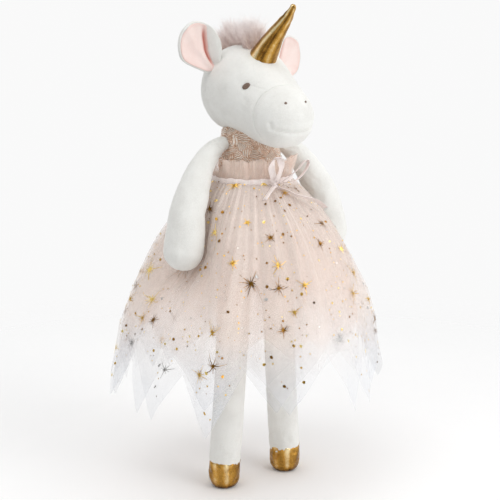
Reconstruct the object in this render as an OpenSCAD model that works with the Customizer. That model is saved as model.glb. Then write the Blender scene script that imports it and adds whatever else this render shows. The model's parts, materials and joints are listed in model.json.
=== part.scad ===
// Plush unicorn doll in a layered tulle skirt, in millimetres.
// +Z is up, the doll faces -Y and its own left side is +X. The origin is on the floor, midway
// between the two hooves' sides and under the middle of the skirt.

/* [Body] */
// Half-width of the bodice at its top edge
bodice_r = 27; // [25:0.5:28]
// Radius of the torso where the waist elastic pinches it
waist_r = 30; // [28:0.5:30]
// Height of the waist above the floor
waist_z = 295; // [293:1:297]
// Thickness of the plush and foil fabrics
fabric_t = 1.5; // [1:0.1:2]

/* [Head] */
// Half-height of the back of the head
skull_r = 40.7; // [40:0.1:41]
// Radius of the stuffed neck that the head turns on
neck_r = 22; // [20:0.5:22]
// Width of an ear
ear_w = 39; // [34:1:40]
// Height of an ear
ear_h = 48; // [42:1:50]
// Radius of the horn at its base
horn_r = 12; // [10:0.5:12.5]

/* [Limbs] */
// Radius of an arm at the shoulder
arm_root_r = 10; // [9:0.5:10]
// Radius of an arm at the hand
hand_r = 17.5; // [15:0.5:17.5]
// Radius of a leg at the hip
thigh_r = 16; // [15:0.5:16]
// Radius of a leg at the top of the hoof
ankle_r = 14.5; // [13:0.5:15]
// Height of a gold hoof cap
hoof_h = 25; // [20:1:30]

/* [Skirt] */
// Thickness that stands for one gathered layer of tulle
tulle_t = 1.2; // [1:0.1:1.2]
// Height of the outer layer's lowest points above the floor
tip_z = 90; // [85:1:110]
// Depth of the notches between those points
notch_h = 55; // [40:1:60]
// Width of the satin ribbon
ribbon_w = 6; // [4:0.5:6]
// Thickness of the satin ribbon
ribbon_t = 0.8; // [0.6:0.1:0.8]

/* [Hidden] */
SIDES = 24;                     // points round a loft
PANEL_STEPS = 12;               // columns of a quarter of the skirt
PANEL_ROWS = 16;                // rows of a skirt panel, the first of them under the ribbon
LEFT = 1;
RIGHT = -1;

plush = [0.93, 0.93, 0.91];
stuffing = [0.97, 0.97, 0.95];
gold = [0.79, 0.63, 0.29];
pink = [0.95, 0.80, 0.77];
rose_gold = [0.79, 0.64, 0.55];
tulle = [0.90, 0.84, 0.81, 0.6];
satin = [0.97, 0.90, 0.89];
brown = [0.48, 0.38, 0.33];
fur = [0.80, 0.74, 0.73];

neck_at = [0, 5, 336];          // centre of the ball that the head turns and nods on
skull_at = [0, 13, 375];        // centre of the back of the head
shoulder_at = [38.8, 0, 322];   // left shoulder's pivot
hip_at = [21, -8, 250];         // left hip's pivot
sole_at = [37, -6, 0];          // middle of the left sole
seat_z = 268;                   // underside of the torso
bodice_z = 325.5;               // top edge of the bodice
clearance = 0.4;                // gap between stuffed pieces that turn against each other
smile_tilt = 14;                // slope of the smile's plane

// Head stations from the back to the muzzle seam: [y, middle z, half-width, half-height]
head_stations = [
    [49, 376, 6, 6], [46, 376, 18, 18], [38, 375.5, 29, 30], [27, 375, 36.5, 38],
    [13, 375, skull_r - 1.9, skull_r], [0, 374, skull_r - 1.9, skull_r], [-14, 371, 37.3, 39.3],
    [-28, 364.5, 34.5, 36.5], [-44, 356.5, 30.5, 30]
];
// Muzzle stations from the seam to the nose
muzzle_stations = [
    [-44, 356.5, 30.5, 30], [-52, 354.5, 29, 27.5], [-60, 353.5, 26, 24.5], [-66, 353.5, 21, 19],
    [-70, 353.5, 14.5, 13], [-72.5, 353.5, 6, 5]
];
// Torso stations from the bodice's top edge to the seat: [z, half-width, half-depth, middle y]
bodice_stations = [
    [bodice_z, bodice_r, bodice_r - 1, 3], [320, bodice_r + 1, bodice_r, 3],
    [308, waist_r, waist_r - 1, 2], [waist_z, waist_r, waist_r, 0]
];
hip_stations = [
    [waist_z, waist_r, waist_r, 0], [291, waist_r, waist_r, 0], [283, 35, 32, 0],
    [277, 37, 33, -2], [271, 35, 31, -3], [seat_z, 28, 25, -3]
];
// Middle line of the left arm, from the shoulder to the hand: [x, y, z, radius]
arm_line = [
    [38.8, 0, 322, arm_root_r], [47, -1.5, 315, 11], [57, -3.5, 303, 12.5],
    [67, -6.5, 287, 14.5], [74.5, -9, 270, 16], [79.5, -11, 252, 17], [82, -12, 236, hand_r]
];
// Radius of the skirt's outer layer by height
skirt_profile = [
    [88, 126], [120, 122], [138, 118], [165, 116], [189, 110], [207, 104], [220, 99], [233, 93],
    [245, 86], [256, 78], [266, 69], [276, 57.5], [285, 45.5], [291, 36.4], [300, 36.4]
];
// How far a hanging arm presses the skirt in, by height
arm_dent = [
    [168, 0], [182, 5], [196, 14], [210, 25], [222, 32], [234, 33], [245, 28], [256, 21],
    [267, 13], [278, 5], [290, 0]
];
dent_spread = 21;               // degrees over which the dent fades
outer_waist_r = 36.4;           // outside of the outer layer at the waist
middle_waist_r = 33.4;
lining_waist_r = 31.8;
skirt_top_z = waist_z + 3;
flare_z = 291;                  // height at which the skirt starts to flare

// Routes of the ribbon's bow, which starts at the knot on the front of the waist
knot_at = [-4, -40.5, 293];
left_loop_route = [
    [-5, -43, 296], [-9, -46, 303], [-12, -48, 311], [-10, -49.5, 318],
    [-5, -50, 318], [-2, -49, 311], [-3, -47, 303], [-4, -44.5, 297]
];
right_loop_route = [
    [-1, -44, 295], [7, -48, 300], [16, -50, 307], [24, -48, 313],
    [29, -46, 313], [29, -47, 309], [22, -49, 302], [12, -50, 296], [2, -47, 293]
];
left_tail_route = [[-7, -44, 292], [-12, -47, 289.5], [-18, -50, 286], [-23, -52.5, 282.5]];
right_tail_route = [
    [-1, -44, 291], [6, -48, 288], [13, -52.5, 284], [21, -56, 281.5],
    [29, -57.5, 279], [36, -58, 275], [42, -59, 270]
];

// ---- Lofts: a ring is a closed row of points, and all rings of a loft have the same count ----

function unit(v) = v / norm(v);
function ring(c, u, v) = [for (i = [0:SIDES - 1]) let(a = 360 * i / SIDES) c + u * cos(a) + v * sin(a)];

// Triangles between row a and row b of n points; closed rows wrap round
function band(a, b, n, closed = true) = [
    for (i = [0:n - (closed ? 1 : 2)]) let(j = (i + 1) % n)
        each [[a + i, b + i, b + j], [a + i, b + j, a + j]]
];
function lid(at, n) = [for (i = [0:n - 1]) at + i];
function flip(faces) = [for (f = faces) [for (i = [len(f) - 1:-1:0]) f[i]]];

// A closed body through the rings
module loft(rings) {
    n = len(rings[0]);
    last = len(rings) - 1;
    polyhedron(
        points = [for (r = rings) each r],
        faces = flip(concat(
            [for (k = [0:last - 1]) each band(k * n, (k + 1) * n, n)],
            [lid(0, n)],
            flip([lid(last * n, n)])
        )),
        convexity = 4
    );
}

// A shell between outer and inner rings, open at its first ring, and closed or open at its last
module cup(outer, inner, closed_end = true) {
    n = len(outer[0]);
    last = len(outer) - 1;
    start = len(outer) * n;
    polyhedron(
        points = [for (r = concat(outer, inner)) each r],
        faces = flip(concat(
            [for (k = [0:last - 1]) each band(k * n, (k + 1) * n, n)],
            flip([for (k = [0:last - 1]) each band(start + k * n, start + (k + 1) * n, n)]),
            band(start, 0, n),
            closed_end
                ? concat(flip([lid(last * n, n)]), [lid(start + last * n, n)])
                : band(last * n, start + last * n, n)
        )),
        convexity = 6
    );
}

// A curved sheet between two grids of rows
module sheet(outer, inner) {
    n = len(outer[0]);
    last = len(outer) - 1;
    start = len(outer) * n;
    side = function(col) [
        for (k = [0:last - 1]) let(a = k * n + col, b = a + n)
            each [[a, start + a, start + b], [a, start + b, b]]
    ];
    polyhedron(
        points = [for (r = concat(outer, inner)) each r],
        faces = concat(
            [for (k = [0:last - 1]) each band(k * n, (k + 1) * n, n, false)],
            flip([for (k = [0:last - 1]) each band(start + k * n, start + (k + 1) * n, n, false)]),
            flip(side(0)),
            side(n - 1),
            band(start, 0, n, false),
            flip(band(start + last * n, last * n, n, false))
        ),
        convexity = 6
    );
}

// ---- Head ----

function backwards(list) = [for (i = [len(list) - 1:-1:0]) list[i]];
function tail(list) = [for (i = [1:len(list) - 1]) list[i]];

// Rings through head stations, shrunk by t on all sides and drawn in by t at the two ends
function drawn_in(y, t) = y > 40 ? y - t : y < -70 ? y + t : y;
function head_rings(stations, t = 0) =
    let(way = stations[0][0] > stations[len(stations) - 1][0] ? -1 : 1)
    [for (s = stations) ring([0, drawn_in(s[0], t), s[1]], [way * (s[2] - t), 0, 0], [0, 0, s[3] - t])];

module head_outside() {
    loft(head_rings(concat(head_stations, tail(muzzle_stations))));
}

module neck_ball(gap = 0) {
    translate(neck_at)
        sphere(r = neck_r + gap, $fn = 48);
}

// What is sewn onto the head, cut back to the head's surface
module on_head() {
    difference() {
        children();
        head_outside();
    }
}

module head_shell() {
    color(plush)
        difference() {
            cup(head_rings(backwards(head_stations)), head_rings(backwards(head_stations), fabric_t));
            neck_ball(clearance);
        }
}

module muzzle_shell() {
    color(plush)
        cup(head_rings(muzzle_stations), head_rings(muzzle_stations, fabric_t));
}

module head_stuffing() {
    color(stuffing)
        difference() {
            loft(head_rings(concat(head_stations, tail(muzzle_stations)), fabric_t));
            neck_ball(clearance);
        }
}

// Ear outline, leaning outwards, with its front at y = 0
module ear_place(side) {
    place = side == RIGHT ? [-47, 12, 413] : [51, 12, 399];
    translate(place)
        rotate([0, side * 16, side * 11])
            children();
}

module ear_disc(shrink, front, thick) {
    rotate([90, 0, 0])
        translate([0, 0, -front - thick])
            linear_extrude(height = thick)
                polygon([for (a = [0:12:348]) [(ear_w / 2 - shrink) * cos(a), (ear_h / 2 - shrink) * sin(a)]]);
}

module ear_back(side) {
    color(plush)
        on_head()
            ear_place(side)
                ear_disc(0, 0, 4);
}

module ear_lining(side) {
    color(pink)
        on_head()
            ear_place(side)
                ear_disc(2.5, -2, 2);
}

module horn_place() {
    translate([0, -15, 403.5])
        rotate([45, 0, 0])
            children();
}

horn_outline = [[horn_r, 0], [horn_r - 1.2, 12], [7.6, 30], [4.6, 48], [2.6, 63], [1.6, 69], [0, 70]];

module horn_shell() {
    color(gold)
        on_head()
            horn_place()
                rotate_extrude($fn = 48)
                    polygon(concat(
                        horn_outline,
                        [[0, 67.5], [1.2, 62], [3.4, 48], [6.4, 30], [horn_r - 2.4, 12], [horn_r - 1.2, 0]]
                    ));
}

module horn_stuffing() {
    color(stuffing)
        on_head()
            horn_place()
                rotate_extrude($fn = 48)
                    polygon([[0, 0], [horn_r - 1.3, 0], [horn_r - 2.5, 12], [6.3, 30], [3.3, 48], [1.1, 62], [0, 66.5]]);
}

// Tuft of long pile along the crown, from behind the horn to between the ears
module mane() {
    color(fur)
        difference() {
            hull() {
                for (p = [[-2, 425, 8], [8, 431, 9], [20, 431, 10], [36, 419, 9]])
                    translate([0, p[0], p[1]])
                        sphere(r = p[2], $fn = 24);
                translate([0, 12, 410])
                    cube([16, 40, 4], center = true);
            }
            translate(skull_at)
                sphere(r = skull_r + 0.4, $fn = 64);
            head_outside();
            horn_place()
                cylinder(h = 70, r1 = horn_r + 0.4, r2 = 2, $fn = 48);
        }
}

module eye(side) {
    color(brown)
        on_head()
            translate([side * 27.6, -31.2, 381.3])
                sphere(r = 3.6, $fn = 24);
}

module nostril(side) {
    color(brown)
        on_head()
            translate([side * 10.5, -66.6, 367.5])
                sphere(r = 2, $fn = 24);
}

// Stitched smile, a thread just proud of the muzzle, along an arc that rises towards the cheeks
function smile_ring(a, r) = let(
    out = [cos(a), sin(a) * cos(smile_tilt), sin(a) * sin(smile_tilt)],
    up = [0, -sin(smile_tilt), cos(smile_tilt)]
) ring([0, -41.2, 348.3] + out * 31, out * r, up * r);

module mouth_stitch() {
    color(plush)
        on_head()
            loft([for (a = [-124:8.5:-56]) smile_ring(a, 1.2)]);
}

module neck_stuffing() {
    color(stuffing)
        neck_ball();
}

// ---- Torso ----

function torso_rings(stations, t = 0) = [
    for (s = stations) ring([0, s[3], s[0]], [s[1] - t, 0, 0], [0, s[2] - t, 0])
];
function raised_end(stations, t) = [for (s = stations) [s[0] == seat_z ? s[0] + t : s[0], s[1], s[2], s[3]]];

module bodice_shell() {
    color(rose_gold)
        difference() {
            cup(torso_rings(bodice_stations), torso_rings(bodice_stations, fabric_t), false);
            neck_ball(clearance);
        }
}

module hip_shell() {
    color(plush)
        cup(torso_rings(hip_stations), torso_rings(raised_end(hip_stations, fabric_t), fabric_t));
}

module torso_stuffing() {
    lower = raised_end(hip_stations, fabric_t);
    color(stuffing)
        difference() {
            loft(torso_rings(concat(bodice_stations, tail(lower)), fabric_t));
            neck_ball(clearance);
        }
}

module hoop(inner_r, outer_r, low, high) {
    translate([0, 0, low])
        difference() {
            cylinder(h = high - low, r = outer_r, $fn = 96);
            translate([0, 0, -1])
                cylinder(h = high - low + 2, r = inner_r, $fn = 96);
        }
}

module waist_elastic() {
    color(stuffing)
        hoop(33.8, 34.8, waist_z - 3, waist_z + 3);
}

// ---- Skirt ----

// 1 under a hanging arm and 0 away from it
function near_arm(a) = let(d = min([for (c = [-8, 188, -172, 352]) abs(a - c)])) exp(-pow(d / dent_spread, 2));
function skirt_r(z, a, at_waist, share) =
    at_waist + (lookup(z, skirt_profile) - outer_waist_r) * share - lookup(z, arm_dent) * near_arm(a);
function zigzag(a) = let(t = abs(a / 45) - floor(abs(a / 45))) 1 - abs(2 * t - 1);

// Rows of a panel from the waist to the hem, between angles a0 and a1
function panel_rows(a0, a1, hem, at_waist, share, t) = let(
    steps = a1 - a0 > 90 ? 2 * PANEL_STEPS : PANEL_STEPS
) [
    for (k = [0:PANEL_ROWS]) [
        for (i = [0:steps]) let(
            a = a0 + (a1 - a0) * i / steps,
            z = k == 0 ? skirt_top_z : flare_z + (hem(a) - flare_z) * (k - 1) / (PANEL_ROWS - 1),
            r = skirt_r(z, a, at_waist, share) - t
        ) [r * cos(a), r * sin(a), z]
    ]
];

outer_hem = function(a) tip_z + notch_h * (1 - zigzag(a));
middle_hem = function(a) 150 + 12 * zigzag(a + 10);
lining_hem = function(a) 170;

module panel(a0, a1, hem, at_waist, share) {
    color(tulle)
        sheet(
            panel_rows(a0, a1, hem, at_waist, share, 0),
            panel_rows(a0, a1, hem, at_waist, share, tulle_t)
        );
}

// The right panels are mirror images of the left ones
module by_side(side) {
    if (side == LEFT) children();
    else mirror([1, 0, 0]) children();
}

module skirt_front(side) {
    by_side(side) panel(-89.5, -0.4, outer_hem, outer_waist_r, 1);
}

module skirt_back(side) {
    by_side(side) panel(0.4, 89.5, outer_hem, outer_waist_r, 1);
}

module underskirt(side) {
    by_side(side) panel(-89.3, 89.3, middle_hem, middle_waist_r, 0.97);
}

module lining(side) {
    by_side(side) panel(-89, 89, lining_hem, lining_waist_r, 0.93);
}

// Gathered heading of the skirt above the elastic
function frill_ring(z_share, t) = [
    for (i = [0:2 * SIDES - 1]) let(
        a = 180 * i / SIDES,
        squeezed = near_arm(a),
        r = 37 + z_share * (8 - 8 * squeezed) - t,
        z = skirt_top_z + 0.4 + z_share * (18 - 15 * squeezed)
    ) [r * cos(a), r * sin(a), z]
];

module waist_frill() {
    shares = [0, 0.35, 0.7, 1];
    color(tulle)
        cup([for (s = shares) frill_ring(s, 0)], [for (s = shares) frill_ring(s, tulle_t)], false);
}

// ---- Ribbon ----

module ribbon_band() {
    color(satin)
        hoop(36.8, 36.8 + ribbon_t, waist_z - ribbon_w / 2, waist_z + ribbon_w / 2);
}

module bow_knot() {
    color(satin)
        translate(knot_at)
            sphere(r = 2.8, $fn = 32);
}

// A flat ribbon along a route, with its width across the route and the doll's front
module ribbon(route) {
    last = len(route) - 1;
    color(satin)
        loft([
            for (i = [0:last]) let(
                along = unit(route[min(i + 1, last)] - route[max(i - 1, 0)]),
                w = unit(cross(along, [0, 0.35, 1])) * ribbon_w / 2,
                n = unit(cross(w, along)) * ribbon_t / 2
            ) [route[i] + w + n, route[i] - w + n, route[i] - w - n, route[i] + w - n]
        ]);
}

// ---- Limbs ----

function arm_axis(i) = let(last = len(arm_line) - 1, a = arm_line[max(i - 1, 0)], b = arm_line[min(i + 1, last)])
    unit([b[0] - a[0], b[1] - a[1], b[2] - a[2]]);
function arm_ring(c, d, r) = let(u = unit(cross([0, 1, 0], d)), v = cross(u, d)) ring(c, u * r, v * r);
function arm_point(i) = [arm_line[i][0], arm_line[i][1], arm_line[i][2]];

// Rings of the left arm shrunk by t: a rounded root, the middle line, and a rounded hand
function arm_rings(t) = let(
    last = len(arm_line) - 1,
    root_d = arm_axis(0),
    hand_d = arm_axis(last)
) concat(
    [for (a = [60, 30]) arm_ring(arm_point(0) - root_d * (arm_root_r - t) * sin(a), root_d, (arm_root_r - t) * cos(a))],
    [for (i = [0:last]) arm_ring(arm_point(i), arm_axis(i), arm_line[i][3] - t)],
    [for (a = [25, 50, 72]) arm_ring(arm_point(last) + hand_d * (hand_r - t) * sin(a), hand_d, (hand_r - t) * cos(a))]
);

module arm_shell(side) {
    color(plush)
        by_side(side)
            cup(arm_rings(0), arm_rings(fabric_t));
}

module arm_stuffing(side) {
    color(stuffing)
        by_side(side)
            loft(arm_rings(fabric_t));
}

leg_length = norm(hip_at - sole_at);
leg_lean = [asin((sole_at[1] - hip_at[1]) / leg_length), asin((hip_at[0] - sole_at[0]) / leg_length), 0];

// The leg's own frame: its origin is the middle of the sole and +Z runs up to the hip's pivot
module leg_frame(side) {
    by_side(side)
        translate(sole_at)
            rotate(leg_lean)
                children();
}

// Half outline of a leg between heights low and high, shrunk by t, with a round hip
function leg_outline(low, t) = concat(
    [[0, low], [ankle_r - t, low], [ankle_r + 0.3 - t, 90], [thigh_r - t, leg_length - 30]],
    [for (a = [0:15:75]) [(thigh_r - t) * cos(a), leg_length + (thigh_r - t) * sin(a)]],
    [[0, leg_length + thigh_r - t]]
);

module leg_shell(side) {
    color(plush)
        leg_frame(side)
            rotate_extrude($fn = 48)
                difference() {
                    polygon(leg_outline(hoof_h, 0));
                    polygon(leg_outline(hoof_h - 1, fabric_t));
                }
}

module leg_stuffing(side) {
    color(stuffing)
        leg_frame(side)
            rotate_extrude($fn = 48)
                polygon(concat(
                    [[0, 4], [7, 4], [11, 7], [ankle_r - fabric_t, 13]],
                    tail(leg_outline(hoof_h - 1, fabric_t))
                ));
}

// Gold cap with a flat sole that is level with the floor
module hoof(side) {
    color(gold)
        difference() {
            leg_frame(side)
                rotate_extrude($fn = 48)
                    polygon([
                        [0, -2], [10, -2], [12.6, 3], [14.4, 8], [ankle_r, 14], [ankle_r, hoof_h],
                        [ankle_r - fabric_t, hoof_h], [ankle_r - fabric_t, 13], [11, 7], [7, 4], [0, 4]
                    ]);
            translate([-100, -100, -20])
                cube([200, 200, 20]);
        }
}

head_shell();
head_stuffing();
muzzle_shell();
ear_back(LEFT);  // ear_left_back
ear_lining(LEFT);  // ear_left_lining
ear_back(RIGHT);  // ear_right_back
ear_lining(RIGHT);  // ear_right_lining
horn_shell();
horn_stuffing();
mane();
eye(LEFT);  // eye_left
eye(RIGHT);  // eye_right
nostril(LEFT);  // nostril_left
nostril(RIGHT);  // nostril_right
mouth_stitch();
neck_stuffing();
bodice_shell();
hip_shell();
torso_stuffing();
waist_elastic();
waist_frill();
skirt_front(LEFT);  // skirt_front_left
skirt_front(RIGHT);  // skirt_front_right
skirt_back(LEFT);  // skirt_back_left
skirt_back(RIGHT);  // skirt_back_right
underskirt(LEFT);  // underskirt_left
underskirt(RIGHT);  // underskirt_right
lining(LEFT);  // lining_left
lining(RIGHT);  // lining_right
ribbon_band();
bow_knot();
ribbon(left_loop_route);  // bow_loop_left
ribbon(right_loop_route);  // bow_loop_right
ribbon(left_tail_route);  // ribbon_tail_left
ribbon(right_tail_route);  // ribbon_tail_right
arm_shell(LEFT);  // arm_left_shell
arm_stuffing(LEFT);  // arm_left_stuffing
arm_shell(RIGHT);  // arm_right_shell
arm_stuffing(RIGHT);  // arm_right_stuffing
leg_shell(LEFT);  // leg_left_shell
leg_stuffing(LEFT);  // leg_left_stuffing
leg_shell(RIGHT);  // leg_right_shell
leg_stuffing(RIGHT);  // leg_right_stuffing
hoof(LEFT);  // hoof_left
hoof(RIGHT);  // hoof_right
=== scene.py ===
"""Looks of a plush unicorn doll: plush, foil cloth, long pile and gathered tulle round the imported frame."""
import json
import math

import bmesh
import bpy
import numpy as np
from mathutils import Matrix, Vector
from mathutils.bvhtree import BVHTree


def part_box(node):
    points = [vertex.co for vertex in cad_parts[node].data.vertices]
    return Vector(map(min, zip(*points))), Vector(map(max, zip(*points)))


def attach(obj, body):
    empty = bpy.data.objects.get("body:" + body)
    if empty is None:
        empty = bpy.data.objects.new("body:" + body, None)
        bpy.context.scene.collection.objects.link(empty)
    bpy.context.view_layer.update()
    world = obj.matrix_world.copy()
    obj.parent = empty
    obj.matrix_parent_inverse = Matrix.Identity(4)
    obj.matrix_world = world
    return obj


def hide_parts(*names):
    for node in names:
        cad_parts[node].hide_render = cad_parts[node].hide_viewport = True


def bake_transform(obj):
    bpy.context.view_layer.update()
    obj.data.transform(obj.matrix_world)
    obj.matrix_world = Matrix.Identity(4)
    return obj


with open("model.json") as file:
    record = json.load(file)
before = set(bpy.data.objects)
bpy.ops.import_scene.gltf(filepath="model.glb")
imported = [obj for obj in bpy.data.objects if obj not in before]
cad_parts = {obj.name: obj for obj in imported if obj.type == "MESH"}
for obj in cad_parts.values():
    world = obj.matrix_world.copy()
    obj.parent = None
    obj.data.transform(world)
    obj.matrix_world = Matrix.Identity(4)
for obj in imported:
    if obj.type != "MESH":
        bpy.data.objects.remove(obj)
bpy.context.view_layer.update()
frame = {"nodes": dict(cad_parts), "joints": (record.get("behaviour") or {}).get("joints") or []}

MM = 0.001
SEED = 20
CLOTH_FRAMES = 20

# ---------------------------------------------------------------- places taken from the frame


def box_corners(node):
    """Lowest and highest corner of a CAD node's box, in metres."""
    return [np.array(corner, float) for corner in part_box(node)]


def middle(node):
    """Middle and half-size of a CAD node's box, in metres."""
    low, high = box_corners(node)
    return (low + high) / 2, (high - low) / 2


def pivot(joint):
    """Point that a joint turns about."""
    return np.array(next(j["pos_m"] for j in frame["joints"] if j["name"] == joint), float)


NECK = pivot("head_nod")
SHOULDER = pivot("arm_left_raise")
HIP = pivot("leg_left_swing")
WAIST_Z = middle("waist_elastic")[0][2]
WAIST_R = middle("ribbon_band")[1][0]
SEAT_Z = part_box("hip_shell")[0][2]
SEAM_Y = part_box("head_shell")[0][1]
SOLE = middle("hoof_left")[0] * (1, 1, 0)
HOOF_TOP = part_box("leg_left_shell")[0][2]

# ---------------------------------------------------------------- numbers along lines and round circles

WHOLE_TURN = 2 * math.pi


def angles(count):
    """Angles spread evenly once round."""
    return np.linspace(0, WHOLE_TURN, count, endpoint=False)


def wrapped(angle, whole=360):
    """An angle brought to within half a turn of 0; whole is a whole turn."""
    return (angle + whole / 2) % whole - whole / 2


def unit(v):
    """Vectors scaled to a length of 1."""
    return v / np.linalg.norm(v, axis=-1, keepdims=True)


def smooth_step(x, low, high):
    """0 below low, 1 above high, smooth between."""
    t = np.clip((np.asarray(x, float) - low) / (high - low), 0, 1)
    return t * t * (3 - 2 * t)


def bell(x, width):
    """1 at 0, falling off smoothly over width."""
    return np.exp(-((np.asarray(x, float) / width) ** 2))


def waves(points, scale, seed):
    """Smooth noise about -1 to 1 at points, made of plane waves of about the given length."""
    rng = np.random.default_rng(seed)
    count = 6
    total = np.zeros(points.shape[:-1])
    for _ in range(count):
        way = rng.normal(size=3)
        way *= WHOLE_TURN / (scale * rng.uniform(0.7, 1.5) * np.linalg.norm(way))
        total += np.sin(points @ way + rng.uniform(0, WHOLE_TURN))
    return total / math.sqrt(count)


def catmull_rom(a, b, c, d, u):
    """Points at shares u of the way from b to c, on smooth curves through a, b, c and d."""
    return 0.5 * (2 * b + (c - a) * u + (2 * a - 5 * b + 4 * c - d) * u**2 + (3 * b - a - 3 * c + d) * u**3)


def spline(points, count):
    """count points along a smooth curve through the given rows; columns may hold radii too."""
    p = np.array(points, float)
    p = np.vstack([2 * p[0] - p[1], p, 2 * p[-1] - p[-2]])
    t = np.linspace(0, len(points) - 1, count)
    k = np.minimum(t.astype(int), len(points) - 2)
    return catmull_rom(p[k], p[k + 1], p[k + 2], p[k + 3], (t - k)[:, None])


def resample(grid, rows, cols):
    """A smooth grid of points with other numbers of rows and columns; columns run round."""
    for axis, count in ((0, rows), (1, cols)):
        old = grid.shape[axis]
        at = np.linspace(0, old - 1, count) if axis == 0 else np.arange(count) * old / count
        k = np.minimum(at.astype(int), old - 1)
        u = (at - k).reshape((-1, 1, 1) if axis == 0 else (1, -1, 1))
        near = [np.clip(k + n, 0, old - 1) if axis == 0 else (k + n) % old for n in (-1, 0, 1, 2)]
        grid = catmull_rom(*[np.take(grid, index, axis=axis) for index in near], u)
    return grid


def tube_rings(line, radii, cols, squash=1.0, side=(0, 1, 0)):
    """Rings of the given radii square to a line of points; side fixes where column 0 lies."""
    line = np.array(line, float)
    along = unit(np.gradient(line, axis=0))
    u = unit(np.cross(along, np.array(side, float)))
    v = np.cross(along, u)
    a = angles(cols)[None, :, None]
    r = np.array(radii, float)[:, None, None]
    return line[:, None] + r * (np.cos(a) * u[:, None] + squash * np.sin(a) * v[:, None])


# ---------------------------------------------------------------- mesh helpers


def new_piece(name, verts, faces, material, smooth=True):
    """A mesh object from points and faces."""
    mesh = bpy.data.meshes.new(name)
    mesh.from_pydata([tuple(map(float, v)) for v in verts], [], [tuple(map(int, f)) for f in faces])
    mesh.validate()
    mesh.update()
    piece = bpy.data.objects.new(name, mesh)
    bpy.context.scene.collection.objects.link(piece)
    piece.data.materials.append(material)
    if smooth:
        mesh.shade_smooth()
    return piece


def grid_faces(rows, cols, wrap=True, start=0):
    """Quads between rows of points; wrap joins the last column to the first."""
    i, j = np.meshgrid(np.arange(rows - 1), np.arange(cols if wrap else cols - 1), indexing="ij")
    a = start + i * cols + j
    b = start + i * cols + (j + 1) % cols
    return np.stack([a, b, b + cols, a + cols], -1).reshape(-1, 4)


def closed(piece, join=0.0):
    """Turns all faces of a body outwards, after joining points that are closer than join."""
    bm = bmesh.new()
    bm.from_mesh(piece.data)
    if join:
        bmesh.ops.remove_doubles(bm, verts=bm.verts, dist=join)
    bmesh.ops.recalc_face_normals(bm, faces=bm.faces)
    bm.to_mesh(piece.data)
    bm.free()
    return piece


def loft(name, rings, material):
    """A smooth body through rings of points, closed by a fan at each end."""
    rows, cols = rings.shape[:2]
    verts = list(rings.reshape(-1, 3))
    faces = [tuple(f) for f in grid_faces(rows, cols)]
    for row, order in ((0, 1), (rows - 1, -1)):
        verts.append(rings[row].mean(0))
        tip = len(verts) - 1
        loop = [(row * cols + k, row * cols + (k + 1) % cols) for k in range(cols)]
        faces += [(a, tip, b) if order > 0 else (b, tip, a) for a, b in loop]
    return closed(new_piece(name, verts, faces, material))


def settle(grid, held, spare, bending, pressure, gravity, cap):
    """Where a grid of cloth comes to rest, by cloth simulation. held says how firmly each row is
    kept, from 0 to 1; spare is its extra cloth as a share, cap the farthest that a point may move."""
    rows, cols = grid.shape[:2]
    piece = new_piece("cloth_settling", grid.reshape(-1, 3), grid_faces(rows, cols), SATIN)
    group = piece.vertex_groups.new(name="held")
    for row in np.flatnonzero(held):
        group.add(list(range(row * cols, (row + 1) * cols)), float(held[row]), "REPLACE")
    cloth = piece.modifiers.new("cloth", "CLOTH")
    values = dict(
        quality=5, mass=0.05, tension_stiffness=15, compression_stiffness=15, shear_stiffness=5,
        bending_stiffness=bending, shrink_min=-spare, vertex_group_mass="held", pin_stiffness=3.0,
        use_pressure=pressure > 0, uniform_pressure_force=pressure,
    )
    for name, value in values.items():
        setattr(cloth.settings, name, value)
    cloth.settings.effector_weights.gravity = gravity
    cloth.collision_settings.use_collision = False
    cloth.point_cache.frame_end = CLOTH_FRAMES
    for number in range(1, CLOTH_FRAMES + 1):
        bpy.context.scene.frame_set(number)
    rested = piece.evaluated_get(bpy.context.evaluated_depsgraph_get()).data
    places = np.empty(rows * cols * 3)
    rested.vertices.foreach_get("co", places)
    mesh = piece.data
    bpy.data.objects.remove(piece)
    bpy.data.meshes.remove(mesh)
    bpy.context.scene.frame_set(1)
    moved = places.reshape(rows, cols, 3) - grid
    far = np.maximum(np.linalg.norm(moved, axis=-1, keepdims=True), 1e-9)
    return grid + moved * cap * np.tanh(far / cap) / far


def at_rest(rings, rows, cols, held, **cloth):
    """Rings of points moved as a coarser copy of them moves when it settles as cloth."""
    coarse = resample(rings, rows, cols)
    return rings + resample(settle(coarse, held, **cloth) - coarse, *rings.shape[:2])


def sewn_rows(rows, first=0, last=0, soft=0):
    """How firmly each row is held: whole rows at either end, then some that give more and more."""
    held = np.zeros(rows)
    held[:first] = 1
    held[rows - last:] = 1
    for k in range(soft):
        held[first + k] = 0.6 * (1 - (k + 1) / (soft + 1))
    return held


def paint(piece, name, values):
    """Stores one number per point of a piece, for its material to read."""
    layer = piece.data.attributes.new(name, "FLOAT", "POINT")
    layer.data.foreach_set("value", np.asarray(values, np.float32))


def paint_folds(piece, points):
    """Marks how far each point of a grid of cloth turns away from facing straight out."""
    normal = np.cross(np.gradient(points, axis=1), np.gradient(points, axis=0))
    normal /= np.maximum(np.linalg.norm(normal, axis=-1, keepdims=True), 1e-12)
    out = points * (1, 1, 0)
    out /= np.maximum(np.linalg.norm(out, axis=-1, keepdims=True), 1e-12)
    level = np.maximum(np.linalg.norm(normal[..., :2], axis=-1), 1e-6)
    flat = np.abs((normal * (1, 1, 0) * out).sum(-1)) / level
    paint(piece, "gather", np.clip((1 - flat) * 2.0, 0, 1).ravel())


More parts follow.
